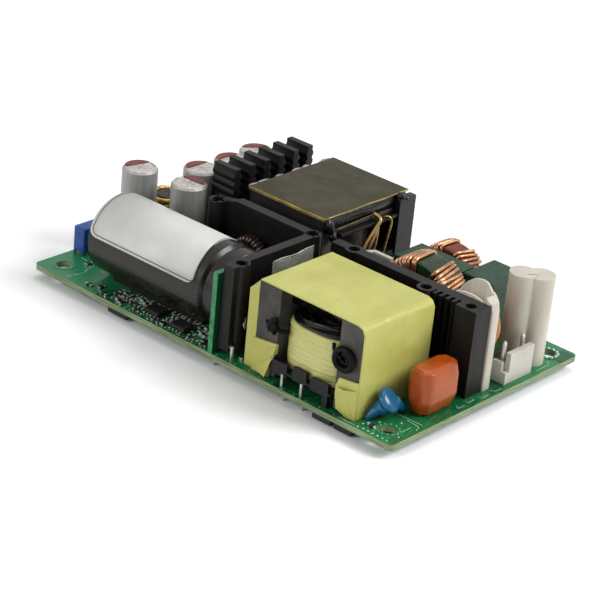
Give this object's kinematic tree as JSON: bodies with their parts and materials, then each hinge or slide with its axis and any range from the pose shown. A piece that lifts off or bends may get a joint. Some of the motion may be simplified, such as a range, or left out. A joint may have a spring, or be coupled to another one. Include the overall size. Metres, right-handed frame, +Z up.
{
  "type": "open frame power supply",
  "caption": "Open frame power supply: a rectangular board with corner holes carrying capacitors, a transformer, wound chokes, black heatsinks and an input header.",
  "frame": {"origin": "centre of the four-hole pattern, on the underside of the board", "axes": "+X along the long edge towards the mains input end, +Y across the board away from the bulk capacitor, +Z up out of the component side"},
  "size_m": [0.127, 0.0764, 0.0325],
  "materials": {
    "pcb": "satin solder mask",
    "tin": "satin",
    "smd_black": "matt",
    "can_sleeve": "gloss",
    "label": "matt",
    "adhesive": "satin",
    "can_aluminium": "satin",
    "box_blue": "gloss",
    "heatsink_black": "black anodised",
    "epoxy_black": "matt",
    "film_grey": "translucent",
    "insulator_white": "matt",
    "ferrite": "matt",
    "tape_olive": "gloss",
    "bobbin_black": "satin",
    "winding_dark": "satin",
    "copper": "enamelled",
    "glue_clear": "gloss",
    "tape_yellow": "satin",
    "core_green": "satin",
    "core_red": "satin",
    "box_green": "satin",
    "sleeve_white": "satin",
    "amber": "gloss",
    "header_white": "satin",
    "dip_orange": "gloss",
    "disc_blue": "gloss",
    "brass": "satin"
  },
  "bodies": {
    "root": {"pcb": "pcb", "hole_lands": "tin", "lead_tips": "tin", "smd_top": "smd_black", "smd_terminals": "tin", "smd_underside": "smd_black", "bulk_capacitor": "can_sleeve", "bulk_label": "label", "bulk_adhesive": "adhesive", "bulk_leads": "tin", "output_capacitors": "can_aluminium", "box_film_capacitor": "box_blue", "control_board": "pcb", "heatsink_corner": "heatsink_black", "heatsink_fins": "heatsink_black", "heatsink_input": "heatsink_black", "heatsink_pins": "tin", "power_transistors": "epoxy_black", "bridge_rectifier": "epoxy_black", "insulator_film": "film_grey", "white_insulator": "insulator_white", "transformer_core": "ferrite", "transformer_tape": "tape_olive", "transformer_bobbin": "bobbin_black", "transformer_winding": "winding_dark", "transformer_leads": "copper", "transformer_pins": "tin", "glue_dabs": "glue_clear", "boost_core": "ferrite", "boost_tape": "tape_yellow", "boost_bobbin": "bobbin_black", "boost_winding": "tape_yellow", "boost_pins": "tin", "boost_knots": "bobbin_black", "cm_choke_core": "core_green", "cm_choke_winding": "copper", "cm_choke_base": "core_green", "dm_choke_core": "core_red", "dm_choke_winding": "copper", "dm_choke_base": "bobbin_black", "x_capacitors": "box_green", "thermistor_sleeve": "sleeve_white", "varistor": "amber", "fuse_sleeve": "sleeve_white", "input_header": "header_white", "input_pins": "tin", "film_capacitor": "dip_orange", "film_leads": "tin", "disc_capacitor": "disc_blue", "output_choke_core": "ferrite", "output_choke_coil": "brass", "aux_inductor_core": "ferrite", "aux_inductor_winding": "copper", "output_header": "header_white", "output_pins": "tin"}
  },
  "joints": []
}
